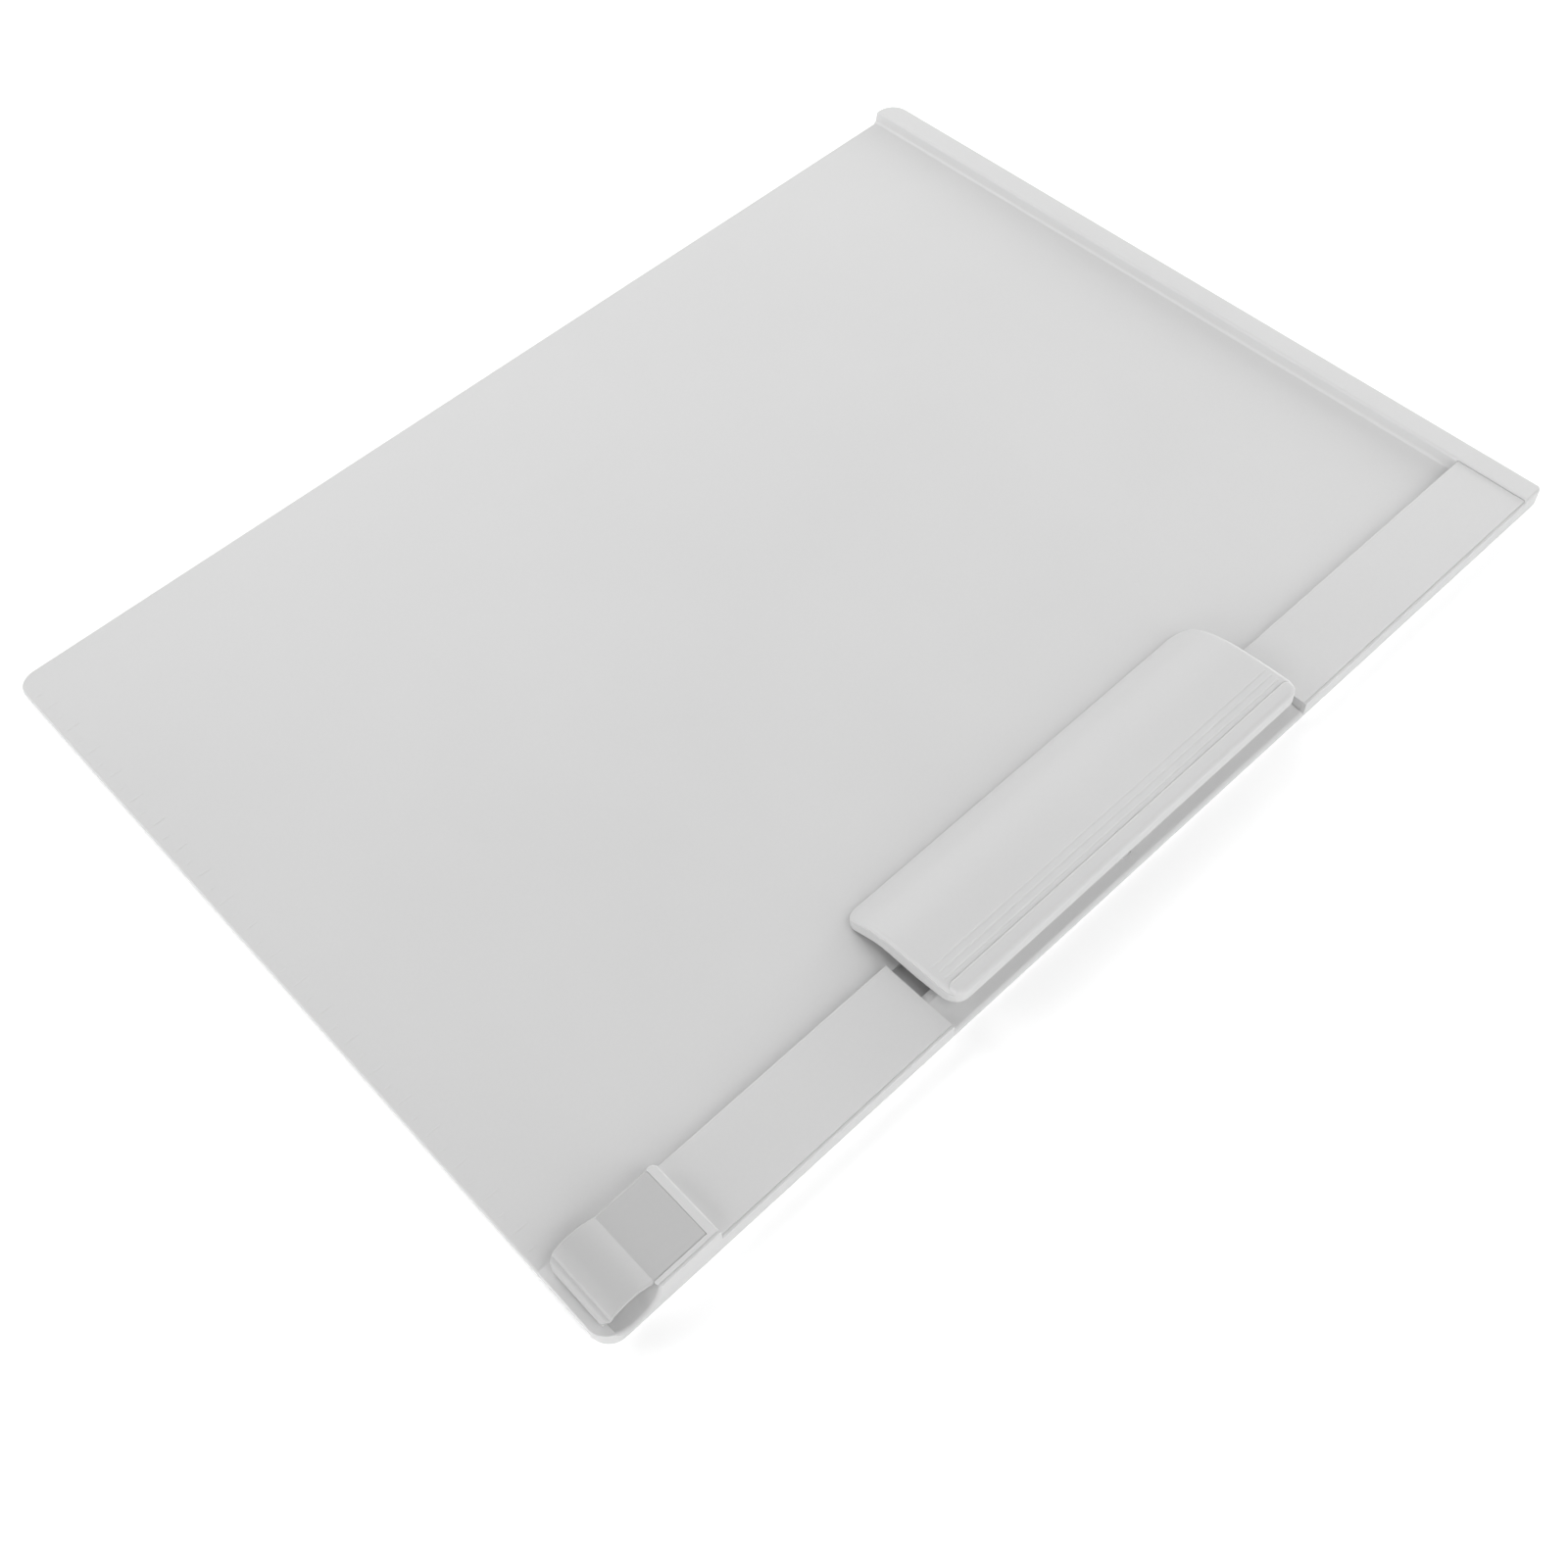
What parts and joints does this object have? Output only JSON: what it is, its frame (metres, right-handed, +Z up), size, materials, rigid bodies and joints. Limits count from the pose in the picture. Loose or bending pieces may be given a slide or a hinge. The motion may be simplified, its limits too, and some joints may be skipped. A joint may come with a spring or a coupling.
{
  "type": "portable drawing board",
  "caption": "Flat landscape drawing board with a sprung paper clip in its header strip, a pen holder, a side rail, ruler marks and a hanging hole.",
  "frame": {"origin": "centre of the board's underside", "axes": "+Z up out of the drawing surface, X along the long edge with the raised rail at +X, header strip with the clip at -Y"},
  "size_m": [0.315, 0.235, 0.0134],
  "materials": {
    "board_plastic": "satin, fine moulded texture",
    "clip_plastic": "satin",
    "ruler_marks": "fine raised marks",
    "steel": "zinc plated",
    "spring_steel": "drawn wire",
    "rubber": "matte"
  },
  "bodies": {
    "board": {"board_panel": "board_plastic", "ruler_scale": "ruler_marks", "header_cover_left": "board_plastic", "header_cover_right": "board_plastic", "clip_cradle": "board_plastic", "hinge_pin": "steel", "pin_retainers": "steel", "torsion_spring_left": "spring_steel", "torsion_spring_right": "spring_steel", "pen_holder_block": "board_plastic", "cradle_screws": "steel", "left_cover_screws": "steel", "right_cover_screws": "steel", "pen_holder_screws": "steel"},
    "clip": {"clip_lever": "clip_plastic", "jaw_pad": "rubber"},
    "pen_leaf": {"pen_clip_leaf": "clip_plastic"}
  },
  "joints": [
    {"name": "clip_hinge", "type": "hinge", "parent": "board", "child": "clip", "pos_m": [0.0011, -0.1025, 0.0044], "axis": [1, 0, 0], "range_deg": [0, 20], "stiffness_Nm_per_rad": 0.4, "springref_deg": -25.78, "deforming": ["torsion_spring_left", "torsion_spring_right"]},
    {"name": "pen_leaf_flex", "type": "hinge", "parent": "board", "child": "pen_leaf", "pos_m": [-0.1292, -0.106, 0.0087], "axis": [0, 1, 0], "range_deg": [0, 8], "stiffness_Nm_per_rad": 0.6, "springref_deg": -2.86}
  ]
}
